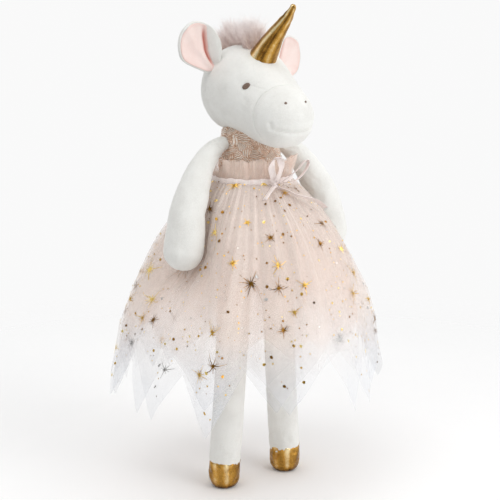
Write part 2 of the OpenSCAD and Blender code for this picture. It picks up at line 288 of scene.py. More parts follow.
def ride(piece, body, slot, *nodes):
    """Fixes a piece to a body and hides the CAD nodes that it stands for; slot, the name of its finish, is
    not used.
    """
    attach(piece, body)
    if nodes:
        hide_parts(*nodes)


def bend(piece, body, start, end, slot, *nodes):
    """For cloth that crosses the joint between the torso and another body: bakes the piece's place into its
    points and hides the CAD nodes that it stands for; body, start, end and slot are not used.
    """
    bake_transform(piece)
    if nodes:
        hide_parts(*nodes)


# ---------------------------------------------------------------- materials


class Nodes:
    """Adds nodes to a node tree; each input is fed by another node's output or a plain value."""

    def __init__(self, tree):
        self.tree = tree

    def node(self, kind, output=0, inputs=None, **settings):
        n = self.tree.nodes.new("ShaderNode" + kind)
        for key, value in settings.items():
            setattr(n, key, value)
        for key, value in (inputs or {}).items():
            self.feed(n.inputs[key], value)
        return n.outputs[output]

    def feed(self, socket, value):
        if isinstance(value, bpy.types.NodeSocket):
            self.tree.links.new(value, socket)
        else:
            socket.default_value = value

    def math(self, operation, a, b, clamp=False):
        return self.node("Math", inputs={0: a, 1: b}, operation=operation, use_clamp=clamp)

    def vector(self, operation, a, b, output="Vector"):
        return self.node("VectorMath", output, {0: a, 1: b}, operation=operation)

    def range(self, value, low, high, to_low, to_high, **settings):
        names = "Value", "From Min", "From Max", "To Min", "To Max"
        return self.node("MapRange", inputs=dict(zip(names, (value, low, high, to_low, to_high))), **settings)


class Shader(Nodes):
    """A Principled material being built: plain values by name, and set() for what varies."""

    def __init__(self, name, **values):
        self.material = bpy.data.materials.new(name)
        self.material.use_nodes = True
        super().__init__(self.material.node_tree)
        self.bsdf = self.tree.nodes["Principled BSDF"]
        self.point = self.node("TexCoord", "Object")
        for socket, value in values.items():
            self.bsdf.inputs[socket.replace("_", " ")].default_value = value

    def set(self, socket, value):
        self.feed(self.bsdf.inputs[socket], value)

    def painted(self, name):
        """Numbers that paint() stored on the piece."""
        return self.node("Attribute", "Fac", attribute_name=name)

    def noise(self, scale, detail=3.0, rough=0.5, stretch=None, output="Fac"):
        at = self.point
        if stretch:
            at = self.node("Mapping", inputs={0: self.point, 3: stretch})
        inputs = {"Vector": at, "Scale": scale, "Detail": detail, "Roughness": rough}
        return self.node("TexNoise", output, inputs)

    def cells(self, scale, feature="F1", output="Distance", at=None):
        inputs = {"Vector": self.point if at is None else at, "Scale": scale}
        return self.node("TexVoronoi", output, inputs, feature=feature)

    def ramp(self, value, *stops):
        n = self.tree.nodes.new("ShaderNodeValToRGB")
        self.tree.links.new(value, n.inputs[0])
        while len(n.color_ramp.elements) < len(stops):
            n.color_ramp.elements.new(0.5)
        for element, (at, colour) in zip(n.color_ramp.elements, stops):
            element.position = at
            element.color = colour if len(colour) == 4 else (*colour, 1)
        return n.outputs[0]

    def mix(self, share, a, b):
        return self.node("Mix", 2, {0: share, 6: a, 7: b}, data_type="RGBA")

    def height(self):
        return self.node("SeparateXYZ", 2, {0: self.point})

    def bump(self, *layers):
        """Bump layers, each (height, distance in metres, strength)."""
        normal = None
        for value, distance, strength in layers:
            inputs = {"Height": value, "Distance": distance, "Strength": strength}
            if normal is not None:
                inputs["Normal"] = normal
            normal = self.node("Bump", inputs=inputs)
        self.set("Normal", normal)


def rgb(*levels):
    """Linear colour with alpha from screen levels of 0 to 255."""
    return (*[((x / 255 + 0.055) / 1.055) ** 2.4 if x > 10 else x / 3295 for x in levels], 1.0)


def plush(name, light, dark, crease_shade=None):
    """Short velvety pile: tiny tufts, soft patches where the pile lies another way, and a sheen."""
    s = Shader(name, Roughness=0.95, Sheen_Weight=0.35, Sheen_Roughness=0.6, Specular_IOR_Level=0.15)
    patches = s.noise(45.0, 3.0, 0.6)
    tufts = s.noise(1700.0, 2.0, 0.6)
    mottle = s.math("ADD", s.math("MULTIPLY", patches, 0.45), s.math("MULTIPLY", tufts, 0.55))
    colour = s.ramp(mottle, (0.36, dark), (0.56, light))
    # The crease colour is painted shade: a deeper red-pink laid into the colour along a fold, where shade
    # falls.
    if crease_shade:
        colour = s.mix(s.painted("crease_shade"), colour, crease_shade)
    s.set("Base Color", colour)
    s.bump((patches, 0.0006, 0.3), (tufts, 0.0004, 0.75), (s.cells(1500.0), 0.0003, 0.4))
    return s.material


WHITE_PLUSH = plush("white_plush", rgb(243, 243, 239), rgb(229, 228, 223))
PINK_PLUSH = plush("pink_plush", rgb(254, 236, 230), rgb(248, 222, 215), crease_shade=rgb(216, 138, 124))


def gold_cloth(name, light, middle_tone, dark):
    """Metallic foil bonded to cloth: light and dark bands where it rounds, painted reflection laid into its
    colour, creases and a fine grain.
    """
    s = Shader(name, Metallic=1.0)
    grain = s.noise(1500.0, 3.0, 0.7)
    # Painted reflection: the band numbers give light and dark streaks; grain and the coarser noise add tone
    # that differs at random.
    tone = s.math("ADD", s.painted("band"), s.math("MULTIPLY", s.math("SUBTRACT", grain, 0.5), 0.55))
    tone = s.math("ADD", tone, s.math("MULTIPLY", s.math("SUBTRACT", s.noise(130.0, 4.0), 0.5), 0.7))
    s.set("Base Color", s.ramp(tone, (0.0, dark), (0.5, middle_tone), (1.0, light)))
    s.set("Roughness", s.range(s.noise(160.0, 4.0), 0.35, 0.65, 0.2, 0.36))
    s.bump((s.noise(120.0, 3.0, 0.5), 0.0012, 0.4), (grain, 0.0002, 0.4))
    return s.material


GOLD = gold_cloth("gold_lame", rgb(255, 238, 190), rgb(198, 150, 70), rgb(98, 64, 24))


def rose_foil():
    """Crinkled rose-gold foil: leaf-like patches of fine ridges, each running its own way, with painted
    highlights on the ridges and painted glints.
    """
    s = Shader("rose_foil", Metallic=0.45)
    bent = s.vector("ADD", s.point, s.vector("MULTIPLY", s.noise(140.0, 2.0, output="Color"), (0.004,) * 3))
    leaf = s.cells(120.0, output="Color", at=bent)
    edge = s.cells(120.0, "DISTANCE_TO_EDGE", at=bent)
    turn = s.math("MULTIPLY", s.node("SeparateColor", 0, {0: leaf}), 12.0)
    turned = s.node("VectorRotate", inputs={"Vector": bent, "Axis": (0.2, 1.0, 0.1), "Angle": turn})
    ridges = s.node("TexWave", "Fac", {"Vector": turned, "Scale": 210.0, "Distortion": 2.5, "Detail": 2.0})
    relief = s.math("MULTIPLY", ridges, s.range(edge, 0.0, 0.10, 0.2, 1.0))
    grain = s.noise(1300.0, 3.0, 0.7)
    # Lighter on the ridges and darker between them: painted highlight and shade on the crinkles; the coarser
    # noise is tone that differs at random.
    tone = s.math("ADD", s.math("MULTIPLY", relief, 0.6), s.math("MULTIPLY", s.noise(210.0), 0.5))
    base = s.ramp(tone, (0.25, rgb(192, 152, 124)), (0.45, rgb(244, 214, 194)), (0.7, rgb(255, 246, 236)))
    # Bright gold specks where the fine grain peaks are painted glints.
    s.set("Base Color", s.mix(s.range(grain, 0.58, 0.66, 0.0, 0.9), base, rgb(255, 244, 220)))
    s.set("Roughness", s.range(grain, 0.35, 0.65, 0.24, 0.5))
    s.bump((relief, 0.0007, 0.9), (grain, 0.0003, 0.6))
    return s.material


ROSE_FOIL = rose_foil()


def net(name, colour, top, bottom, hem_z, top_z, painted_glow=0.01):
    """Tulle: fine net, denser towards the waist and in its gathers, and cooler where it is single. Its
    emission is a painted glow that stands in for light scattered through the layers.
    """
    s = Shader(name, Roughness=0.5, Sheen_Weight=0.3, Sheen_Roughness=0.4, Specular_IOR_Level=0.4)
    threads = s.range(s.cells(900.0, "DISTANCE_TO_EDGE"), 0.05, 0.22, 1.0, 0.0)
    density = s.range(s.height(), hem_z, top_z, bottom, top)
    cloudy = s.range(s.noise(28.0, 3.0), 0.3, 0.7, 0.82, 1.18)
    gather = s.range(s.painted("gather"), 0.0, 1.0, 0.86, 1.50)
    cover = s.math("MULTIPLY", s.math("MULTIPLY", density, cloudy), gather)
    lift = s.math("MULTIPLY", s.math("SUBTRACT", threads, 0.4), 0.35)
    s.set("Alpha", s.math("ADD", cover, s.math("MULTIPLY", lift, cover), clamp=True))
    s.set("Base Color", s.mix(s.range(s.height(), 0.11, 0.17, 1.0, 0.0), colour, rgb(216, 221, 231)))
    # Painted glow: a faint emission in the net's own colour, stronger on the lining and the frill.
    s.set("Emission Color", colour)
    s.set("Emission Strength", painted_glow)
    s.bump((threads, 0.0003, 0.3))
    return s.material


TULLE = net("tulle", rgb(249, 238, 231), 0.34, 0.22, 0.10, 0.28)
UNDER_TULLE = net("under_tulle", rgb(250, 235, 226), 0.50, 0.05, 0.12, 0.24)
LINING_TULLE = net("lining_tulle", rgb(250, 226, 211), 0.62, 0.06, 0.14, 0.21, painted_glow=0.03)
FRILL_TULLE = net("frill_tulle", rgb(251, 233, 222), 0.40, 0.40, 0.29, 0.31, painted_glow=0.03)


def foil(name, bright, dark):
    s = Shader(name, Metallic=1.0)
    flakes = s.noise(420.0, 3.0)
    s.set("Base Color", s.ramp(flakes, (0.35, dark), (0.6, bright)))
    s.set("Roughness", s.range(flakes, 0.3, 0.7, 0.18, 0.45))
    s.bump((flakes, 0.0006, 0.6))
    return s.material


# Lit and shaded copies of the foil: plain gold, painted shade in dark bronze, painted glints in pale gold,
# and silver-white that is partly the foil's back and partly painted highlight.
STAR_FOILS = [
    foil("star_gold", rgb(236, 196, 96), rgb(188, 138, 52)),
    foil("star_shaded_gold", rgb(150, 108, 44), rgb(98, 66, 24)),
    foil("star_glint_gold", rgb(255, 232, 150), rgb(240, 200, 100)),
    foil("star_silver_glint", rgb(214, 212, 210), rgb(176, 174, 172)),
]


def satin():
    s = Shader("satin", Roughness=0.32, Anisotropic=0.5, Sheen_Weight=0.2, Specular_IOR_Level=0.6)
    ribs = s.noise(1500.0, 2.0, 0.5, stretch=(1.0, 1.0, 0.08))
    s.set("Base Color", s.ramp(ribs, (0.3, rgb(240, 224, 219)), (0.7, rgb(253, 244, 241))))
    s.bump((ribs, 0.0001, 0.4))
    return s.material


SATIN = satin()


def thread(name, light, dark):
    s = Shader(name, Roughness=0.6, Sheen_Weight=0.3)
    twist = s.noise(2600.0, 2.0)
    s.set("Base Color", s.ramp(twist, (0.35, dark), (0.65, light)))
    s.bump((twist, 0.0001, 0.5))
    return s.material


BROWN_THREAD = thread("brown_thread", rgb(140, 116, 100), rgb(96, 74, 60))
WHITE_THREAD = thread("white_thread", rgb(240, 239, 235), rgb(222, 220, 214))


def fibre():
    s = Shader("mane_fibre", Roughness=0.5, Sheen_Weight=0.4, Specular_IOR_Level=0.4)
    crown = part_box("mane")
    tone = s.range(s.height(), float(crown[0][2]) + 0.004, float(crown[1][2]) - 0.004, 0.0, 1.0)
    colour = s.ramp(tone, (0.0, rgb(240, 216, 206)), (0.35, rgb(250, 236, 231)), (1.0, rgb(253, 248, 246)))
    s.set("Base Color", s.mix(s.range(s.noise(300.0), 0.3, 0.7, 0.0, 0.3), colour, rgb(238, 224, 220)))
    # Painted glow: a faint emission that lifts the shade inside the tuft.
    s.set("Emission Color", rgb(246, 230, 224))
    s.set("Emission Strength", 0.06)
    return s.material


MANE_FIBRE = fibre()

# ---------------------------------------------------------------- camera, light and floor

PHOTO_AZIMUTH, PHOTO_ELEVATION = -35.0, 12.0
CAMERA_DISTANCE = 1.1
AIM = Vector((0.0, 0.0, 0.225))
BACKDROP = 0.95
FLOOR_HALF = 1.0


def toward(azimuth, elevation):
    """Direction from the doll to a place in the studio, by angles in degrees from its front."""
    a, e = math.radians(azimuth), math.radians(elevation)
    return Vector((math.sin(a) * math.cos(e), -math.cos(a) * math.cos(e), math.sin(e)))


def place(thing, at, turn):
    thing.location = at
    thing.rotation_euler = turn.to_euler()
    bpy.context.scene.collection.objects.link(thing)


def make_camera():
    data = bpy.data.cameras.new("camera")
    data.lens = 84.0
    data.sensor_width = 36.0
    data.shift_x = -0.003
    camera = bpy.data.objects.new("camera", data)
    way = toward(PHOTO_AZIMUTH, PHOTO_ELEVATION)
    place(camera, AIM + way * CAMERA_DISTANCE, (-way).to_track_quat("-Z", "Y"))
    bpy.context.scene.camera = camera


def make_light(name, azimuth, elevation, distance, size, power):
    data = bpy.data.lights.new(name, "AREA")
    data.shape, data.size, data.energy = "DISK", size, power
    way = toward(azimuth, elevation)
    place(bpy.data.objects.new(name, data), AIM + way * distance, way.to_track_quat("Z", "Y"))


def light_walls(tree):
    """White studio walls, dim in front of the doll and on its right, and a plain pale backdrop."""
    n = Nodes(tree)
    way = n.node("TexCoord", "Generated")
    front = n.vector("DOT_PRODUCT", way, toward(PHOTO_AZIMUTH + 22, 12), "Value")
    side = n.vector("DOT_PRODUCT", way, toward(PHOTO_AZIMUTH - 85, 0), "Value")
    front = n.range(front, 0.80, 0.94, BACKDROP, 0.12, interpolation_type="SMOOTHSTEP")
    level = n.math("MULTIPLY", front, n.range(side, 0.05, 0.9, 1.0, 0.5))
    seen = n.node("Mix", inputs={0: n.node("LightPath", "Is Camera Ray"), 2: level, 3: BACKDROP})
    background = tree.nodes["Background"]
    n.feed(background.inputs[0], (1.0, 1.0, 1.0, 1.0))
    n.feed(background.inputs[1], seen)


def make_stage():
    scene = bpy.context.scene
    scene.view_settings.view_transform = "Standard"
    scene.cycles.transparent_max_bounces = 40
    scene.world = bpy.data.worlds.new("studio")
    scene.world.use_nodes = True
    light_walls(scene.world.node_tree)
    floor = Shader("floor", Roughness=0.9, Specular_IOR_Level=0.0)
    tones = (0.3, rgb(250, 250, 250)), (0.7, rgb(253, 253, 253))
    floor.set("Base Color", floor.ramp(floor.noise(3.0), *tones))
    away = floor.node("VectorMath", "Value", {0: floor.point}, operation="LENGTH")
    floor.set("Alpha", floor.range(away, 0.25, 0.75, 1.0, 0.0))
    corners = [(x * FLOOR_HALF, y * FLOOR_HALF, 0) for x, y in ((-1, -1), (1, -1), (1, 1), (-1, 1))]
    new_piece("floor", corners, [(0, 1, 2, 3)], floor.material)


make_camera()
make_stage()
make_light("key", 18.0, 34.0, 1.6, 0.9, 5.5)
make_light("top", -75.0, 68.0, 1.5, 1.0, 4.6)
make_light("low", 20.0, -2.0, 1.8, 0.9, 3.8)
make_light("strip", -115.0, 30.0, 1.4, 0.4, 0.4)

# ---------------------------------------------------------------- the ribbon's free end

RIBBON_W, RIBBON_THICK = 6.0, 0.35
# Routes of the bow from its knot, in millimetres
LEFT_LOOP = [
    (-5, -43, 296), (-9, -46, 303), (-12, -48, 311), (-10, -49.5, 318),
    (-5, -50, 318), (-2, -49, 311), (-3, -47, 303), (-4, -44.5, 297),
]
RIGHT_LOOP = [
    (-1, -44, 295), (7, -48, 300), (16, -50, 307), (24, -48, 313),
    (29, -46, 313), (29, -47, 309), (22, -49, 302), (12, -50, 296), (2, -47, 293),
]
LEFT_TAIL = [(-7, -44, 292), (-12, -47, 289.5), (-18, -50, 286), (-23, -52.5, 282.5)]
RIGHT_TAIL = [
    (-1, -44, 291), (6, -48, 288), (13, -52.5, 284), (21, -56, 281.5),
    (29, -57.5, 279), (36, -58, 275), (42, -59, 270),
]


def ribbon_strip(name, route):
    """A flat satin ribbon along a route, a little hollow across, and its middle line."""
    line = spline(np.array(route, float) * MM, 60)
    along = unit(np.gradient(line, axis=0))
    w = unit(np.cross(along, (0, 0.35, 1)))[:, None]
    n = np.cross(w[:, 0], along)[:, None]
    across = np.linspace(-1, 1, 9)[None, :, None]
    bow = -0.12 * RIBBON_W * (across**2) * MM
    top = line[:, None] + w * RIBBON_W / 2 * MM * across + n * (bow + RIBBON_THICK / 2 * MM)
    low = top - n * RIBBON_THICK * MM
    rings = np.concatenate([top, low[:, ::-1]], 1)
    return loft(name, rings, SATIN), line


def make_free_end():
    """The bow's long end, which hangs free over the front of the skirt."""
    piece, line = ribbon_strip("ribbon_end_right", RIGHT_TAIL)
    ride(piece, "torso", "satin", "ribbon_tail_right")


make_free_end()

# ---------------------------------------------------------------- head

# Head stations from the back to the nose, in millimetres: distance in front of the neck's
# middle, height above it, half-width and half-height
HEAD_STATIONS = [
    (-44.6, 40.0, 0.5, 0.5), (-43.8, 40.0, 9.0, 9.0), (-41.0, 40.0, 18.0, 18.0), (-33.0, 39.5, 29.0, 30.0),
    (-22.0, 39.0, 36.5, 38.0), (-8.0, 39.0, 38.8, 40.7), (5.0, 38.0, 38.8, 40.7), (19.0, 35.0, 37.3, 39.3),
    (33.0, 28.5, 34.5, 36.5), (49.0, 20.5, 30.5, 30.0), (57.0, 18.5, 29.0, 27.5), (65.0, 17.5, 26.0, 24.5),
    (71.0, 17.5, 21.0, 19.0), (75.0, 17.5, 14.5, 13.0), (77.4, 17.5, 6.5, 5.6), (78.0, 17.5, 0.5, 0.5),
]
BACK, NOSE = HEAD_STATIONS[0][0], HEAD_STATIONS[-1][0]
STATIONS = spline(HEAD_STATIONS, 900)
SEAM = (NECK[1] - SEAM_Y) / MM
HEAD_COLS = 256


def head_section(ahead):
    """Height above the neck, half-width and half-height of the head at distances in front of the neck."""
    return [np.interp(ahead, STATIONS[:, 0], STATIONS[:, k]) for k in (1, 2, 3)]


def head_surface(ahead, a):
    """Points of the head at distances in front of the neck and angles from its top."""
    rise, wide, high = head_section(ahead)
    return NECK + np.stack([wide * np.sin(a), -ahead, rise + high * np.cos(a)], -1) * MM


def head_normal(point):
    """Direction out of the head at a point of it."""
    return unit(point - NECK - np.array([0, -10 * MM, 30 * MM]))


def face_point(x, z):
    """Point of the front of the head at sideways x and height z, in metres."""
    u, h = x / MM, (z - NECK[2]) / MM
    inside = (u / STATIONS[:, 2]) ** 2 + ((h - STATIONS[:, 1]) / STATIONS[:, 3]) ** 2 < 1
    return np.array([x, NECK[1] - STATIONS[inside, 0].max() * MM, z])


def eye_place(side):
    """Point on the side of the head where an eye is sewn."""
    at = middle("eye_left")[0] + (0, 3.5 * MM if side > 0 else 0, 0)
    ahead = (NECK[1] - at[1]) / MM
    rise, wide, high = head_section(ahead)
    lift = ((at[2] - NECK[2]) / MM - rise) / high
    return np.array([side * wide * math.sqrt(1 - lift**2) * MM, at[1], at[2]])


def smile_z(x):
    """Height of the sewn smile at sideways x, in metres."""
    return NECK[2] + 5.9 * MM + 7.5 * x**2


def near_line(points, start, end):
    """Distance of points from the line between two places."""
    way = end - start
    t = np.clip((points - start) @ way / (way @ way), 0, 1)
    return np.linalg.norm(points - start - t[..., None] * way, axis=-1)


def face_dents(rings, ahead):
    """How deep the seam and the face's threads pull the plush in, in millimetres."""
    x, z = np.abs(rings[..., 0]), rings[..., 2]
    front = smooth_step(ahead, SEAM + 4, SEAM + 9)
    depth = 0.75 * bell(ahead - SEAM, 0.9) - 0.45 * bell(np.abs(ahead - SEAM) - 4.0, 3.0)
    for side in (-1, 1):
        eye = eye_place(side)
        corner = head_surface(SEAM + 3.0, side * 0.66)
        depth = depth + 1.3 * bell(np.linalg.norm(rings - eye, axis=-1), 7 * MM)
        depth = depth + 0.4 * bell(near_line(rings, eye + [0, 0, 2 * MM], corner), 0.9 * MM)
    smile = z - smile_z(x)
    depth = depth + 1.5 * front * bell(smile, 1.7 * MM) * (1 - smooth_step(x, 17 * MM, 25 * MM))
    depth = depth - 0.5 * front * bell(smile + 4 * MM, 4 * MM) * bell(x - 15 * MM, 12 * MM)
    mouth_end = [np.array([px * MM, 0, NECK[2] + pz * MM]) for px, pz in ((23, 9.5), (24, 14.5))]
    dimple = near_line(np.stack([x, 0 * x, z], -1), *mouth_end)
    return depth + 1.1 * front * bell(dimple, 1.6 * MM)


def sculpted(ahead, held, spare):
    """Rings of the head at distances in front of the neck, stuffed tight, with the face's dents."""
    a = angles(HEAD_COLS)[None, :]
    slant = 2.0 + 5.0 * np.maximum(np.cos(a), 0) ** 2 + 2.0 * np.maximum(-np.cos(a), 0) ** 2
    rings = head_surface(ahead + slant * bell(ahead - SEAM, 14.0), a)
    rings = at_rest(rings, 30, 48, held, spare=spare, bending=0.8, pressure=3.0, gravity=0.0, cap=1.2 * MM)
    depth = face_dents(rings, ahead) + 0.35 * waves(rings, 0.03, 4) + 0.10 * waves(rings, 0.009, 5)
    return rings - head_normal(rings) * depth[..., None] * MM


def make_head():
    rounding = np.linspace(0, math.pi / 2, 190)[:, None]
    ahead = BACK + (SEAM - BACK) * (1 - np.cos(rounding))
    skull = loft("head_skin", sculpted(ahead, sewn_rows(30, 4, 1), 0.008), WHITE_PLUSH)
    ride(skull, "head", "white_plush", "head_shell", "head_stuffing")
    rounding = np.linspace(0, math.pi / 2, 110)[:, None]
    ahead = SEAM + (NOSE - SEAM) * np.sin(rounding)
    snout = loft("muzzle_skin", sculpted(ahead, sewn_rows(30, 1, 4), 0.0), WHITE_PLUSH)
    ride(snout, "head", "white_plush", "muzzle_shell")
    return skull, snout


def finder(piece):
    """A function that finds the point of a piece's surface nearest to a point."""
    corners = [v.co[:] for v in piece.data.vertices]
    tree = BVHTree.FromPolygons(corners, [p.vertices[:] for p in piece.data.polygons])
    return lambda point: np.array(tree.find_nearest(Vector(point))[0])


ON_SKULL, ON_MUZZLE = (finder(piece) for piece in make_head())


def stitched_patch(name, centre, normal, long_half, short_half, tilt, count, thread_r):
    """A satin-stitched oval: parallel threads that bulge over the cloth."""
    up = unit(np.array([0, 0, 1.0]) - normal * normal[2])
    across = np.cross(up, normal)
    long_way = across * math.cos(tilt) + up * math.sin(tilt)
    short_way = np.cross(normal, long_way)
    verts, faces = [], []
    for k in range(count):
        t = (k + 0.5) / count * 2 - 1
        half = short_half * math.sqrt(1 - t * t)
        s = np.linspace(-1, 1, 9)
        hump = 0.5 * short_half * np.sqrt(1 - 0.96 * s**2) * math.sqrt(1 - 0.8 * t * t) - 0.6 * MM
        line = centre + long_way * long_half * t + short_way * half * s[:, None] + normal * hump[:, None]
        rings = tube_rings(line, np.full(9, thread_r), 8, side=normal)
        start = len(verts)
        verts += list(rings.reshape(-1, 3))
        faces += [tuple(f) for f in grid_faces(9, 8, start=start)]
        faces += [tuple(range(start + 7, start - 1, -1)), tuple(range(start + 64, start + 72))]
    return closed(new_piece(name, verts, faces, BROWN_THREAD))


def make_face():
    for name, side in (("left", 1), ("right", -1)):
        at = eye_place(side)
        normal = head_normal(at)
        at = ON_SKULL(at) + normal * 0.7 * MM
        eye = stitched_patch("eye_stitches_" + name, at, normal, 3.7 * MM, 2.5 * MM,
                             math.radians(35) * -side, 13, 0.34 * MM)
        ride(eye, "head", "brown_thread", "eye_" + name)
        spot = middle("nostril_" + name)[0]
        spot = ON_MUZZLE(face_point(spot[0], spot[2])) + head_normal(spot) * 0.2 * MM
        hole = stitched_patch("nostril_stitches_" + name, spot, head_normal(spot), 1.5 * MM, 1.1 * MM,
                              math.radians(40) * side, 6, 0.32 * MM)
        ride(hole, "head", "brown_thread", "nostril_" + name)
    x = np.linspace(-20, 16, 50) * MM
    line = np.array([ON_MUZZLE(face_point(a, smile_z(a)) - np.array([0, -1.5 * MM, 0])) for a in x])
    smile = loft("smile_thread", tube_rings(line, np.full(50, 0.3 * MM), 8, side=(0, 0, 1)), WHITE_THREAD)
    ride(smile, "head", "white_thread", "mouth_stitch")


make_face()

# ---------------------------------------------------------------- ears


def ear_frame(side):
    """Middle of an ear and its own directions: outwards, forwards and up."""
    name = "left" if side > 0 else "right"
    at = middle(f"ear_{name}_back")[0]
    lean, face = math.radians(16), math.radians(11)
    up = np.array([side * math.sin(lean), 0, math.cos(lean)])
    ahead = np.array([side * math.sin(face), -math.cos(face), 0])
    ahead = unit(ahead - up * (ahead @ up))
    out = np.cross(up, ahead) * side
    return at, out, ahead, up


EAR_W, EAR_H = 19.5, 24.5


def ear_outline(a):
    """Outline of an ear at angle a from outwards, in millimetres: round above, narrower at its foot."""
    x, z = np.cos(a), np.sin(a)
    narrow = 1 - 0.30 * smooth_step(-z, 0.1, 1.0)
    return EAR_W * x * narrow - 5.5 * smooth_step(-z, 0.2, 1.0), EAR_H * z


def ear_crease(u, v, at, width, low, high):
    """1 along the crease between an ear's pink and its folded side, and 0 away from it."""
    length = smooth_step(v, -0.9, low) * (1 - smooth_step(v, high, high + 0.45))
    return bell(u + at + 0.1 * v, width) * length


def ear_front(u, v):
    """How far the inner face of the cup stands forwards at sideways u and height v, in shares."""
    r = np.sqrt(u * u + v * v)
    cup = -5.0 * (1 - np.clip(r, 0, 1) ** 2)
    fold = 5.5 * smooth_step(-u, 0.35, 0.8) * (1 - 0.5 * np.clip(v, 0, 1))
    ridge = 1.4 * bell(u - 0.1 - 0.35 * v, 0.22)
    return cup + fold - 3.2 * ear_crease(u, v, 0.36, 0.09, -0.4, 0.35) + ridge


def ear_sheet(side, share, lift, thick, name, material, window=None):
    """A cupped sheet of an ear: share is its size, lift its place in front of the ear's middle, and
    window how far sideways its edge is cut straight, in shares."""
    at, out, ahead, up = ear_frame(side)
    a = angles(72)
    r = np.concatenate([np.linspace(0.03, 0.96, 26), [0.99, 1.0]])
    u, v = r[:, None] * np.cos(a) * share, r[:, None] * np.sin(a) * share
    if window:
        u = np.maximum(u, window - 0.12 * v)
    x, z = (np.hypot(u, v) * edge for edge in ear_outline(np.arctan2(v, u)))
    front = ear_front(u, v) + lift
    front[-2] -= thick * 0.12
    front[-1] -= thick * 0.45
    back = ear_front(u, v) * (1 if window else 0.8) + lift - thick
    back[-2] += thick * 0.12
    back[-1] = front[-1]

    def place(f):
        return at + (x[..., None] * out + z[..., None] * up + f[..., None] * ahead) * MM

    rings = np.concatenate([place(front), place(back)[::-1][1:]])
    piece = loft(name, rings, material)
    if window:
        # Painted shade: these crease numbers lay a deeper red-pink along the lining's fold and a little round
        # its edge.
        near = ear_crease(u, v, 0.37, 0.075, -0.5, 0.4)
        near = np.concatenate([near + 0.2 * bell(r[:, None] - 1, 0.1), 0 * near[1:]])
        paint(piece, "crease_shade", np.append(np.clip(near, 0, 1).ravel(), [0.0, 0.0]))
    return piece


def make_ears():
    for name, side in (("left", 1), ("right", -1)):
        shell = ear_sheet(side, 1.0, 0.0, 5.0, "ear_skin_" + name, WHITE_PLUSH)
        ride(shell, "head", "white_plush", f"ear_{name}_back")
        lining = ear_sheet(side, 0.925, 0.9, 1.6, "ear_pink_" + name, PINK_PLUSH, window=-0.47)
        ride(lining, "head", "pink_plush", f"ear_{name}_lining")


make_ears()

# ---------------------------------------------------------------- horn


def make_horn():
    low, high = box_corners("horn_shell")
    tip = np.array([0.0, low[1] + 1.5 * MM, high[2] - 1.2 * MM])
    foot = np.array([0.0, high[1] - 11 * MM, low[2] + 4 * MM])
    way = tip - foot
    length = np.linalg.norm(way)
    way /= length
    rise = np.cross(way, (1.0, 0, 0))
    t = np.linspace(0, 1, 150)
    sway = 1.8 * MM * np.sin(t * math.pi * 1.7 + 0.4) * t
    line = foot + way * (t * length)[:, None] + rise * sway[:, None]
    radii = 12.2 * MM * (1 - t) ** 0.95 + 2.3 * MM * t
    radii *= np.sqrt(np.clip(1 - ((t - 0.955) / 0.045) ** 2, 0.0, 1)) ** (t > 0.955)
    rings = tube_rings(line, np.maximum(radii, 0.15 * MM), 128, side=(1, 0, 0))
    spokes = rings - line[:, None]
    a = angles(128)
    t = t[:, None]
    pinch = smooth_step(t, 0.5, 0.95)
    folds = 0.025 * np.sin(2 * a + 5 * t) + 0.10 * pinch * np.sin(4 * a - 12 * t)
    ripples = 0.05 * np.sin(44 * t + 2.2 * np.sin(a + 1)) * pinch
    seam = -0.09 * bell(wrapped(a - 2.2, WHOLE_TURN), 0.09)
    dents = 0.02 * waves(rings, 0.016, 9)
    rings = line[:, None] + spokes * (1 + folds + ripples + seam + dents)[..., None]
    horn = loft("horn_skin", rings, GOLD)
    # Painted reflection: light and dark streaks set by the angle round the horn, and a lighter foot.
    turn = wrapped(np.degrees(a) - 126 + 7 * np.sin(6 * t))
    reflection_bands = 0.12 + 0.95 * bell(turn + 32, 15) + 0.5 * bell(turn - 38, 16) + 0.75 * bell(turn - 115, 22)
    reflection_bands = reflection_bands + 0.6 * bell(turn + 105, 26) + 0.25 * bell(np.abs(turn) - 78, 10) + 0.25 * bell(t, 0.05)
    paint(horn, "band", np.append(reflection_bands.ravel(), [0.4, 0.4]))
    ride(horn, "head", "gold_lame", "horn_shell", "horn_stuffing")


make_horn()

# ---------------------------------------------------------------- mane


def fibre_mesh(lines, radius):
    """Tapered three-sided fibres along many lines of the same number of points."""
    count, steps = lines.shape[:2]
    along = unit(lines[:, -1] - lines[:, 0])
    across = unit(np.cross(along, np.random.default_rng(SEED).normal(size=(count, 3))))
    deep = np.cross(along, across)
    corners = np.stack([across, -0.5 * across + 0.87 * deep, -0.5 * across - 0.87 * deep], 1)
    taper = (radius * (1 - np.linspace(0, 1, steps) ** 1.6) + 0.1 * radius)[None, :, None, None]
    verts = (lines[:, :, None] + taper * corners[:, None]).reshape(-1, 3)
    faces = []
    for k in range(count):
        first = 3 * steps * k
        last = first + 3 * steps - 3
        faces += [tuple(f) for f in grid_faces(steps, 3, start=first)]
        faces += [(first + 2, first + 1, first), (last, last + 1, last + 2)]
    return verts, faces


LOCKS, FIBRES_PER_LOCK = 330, 26


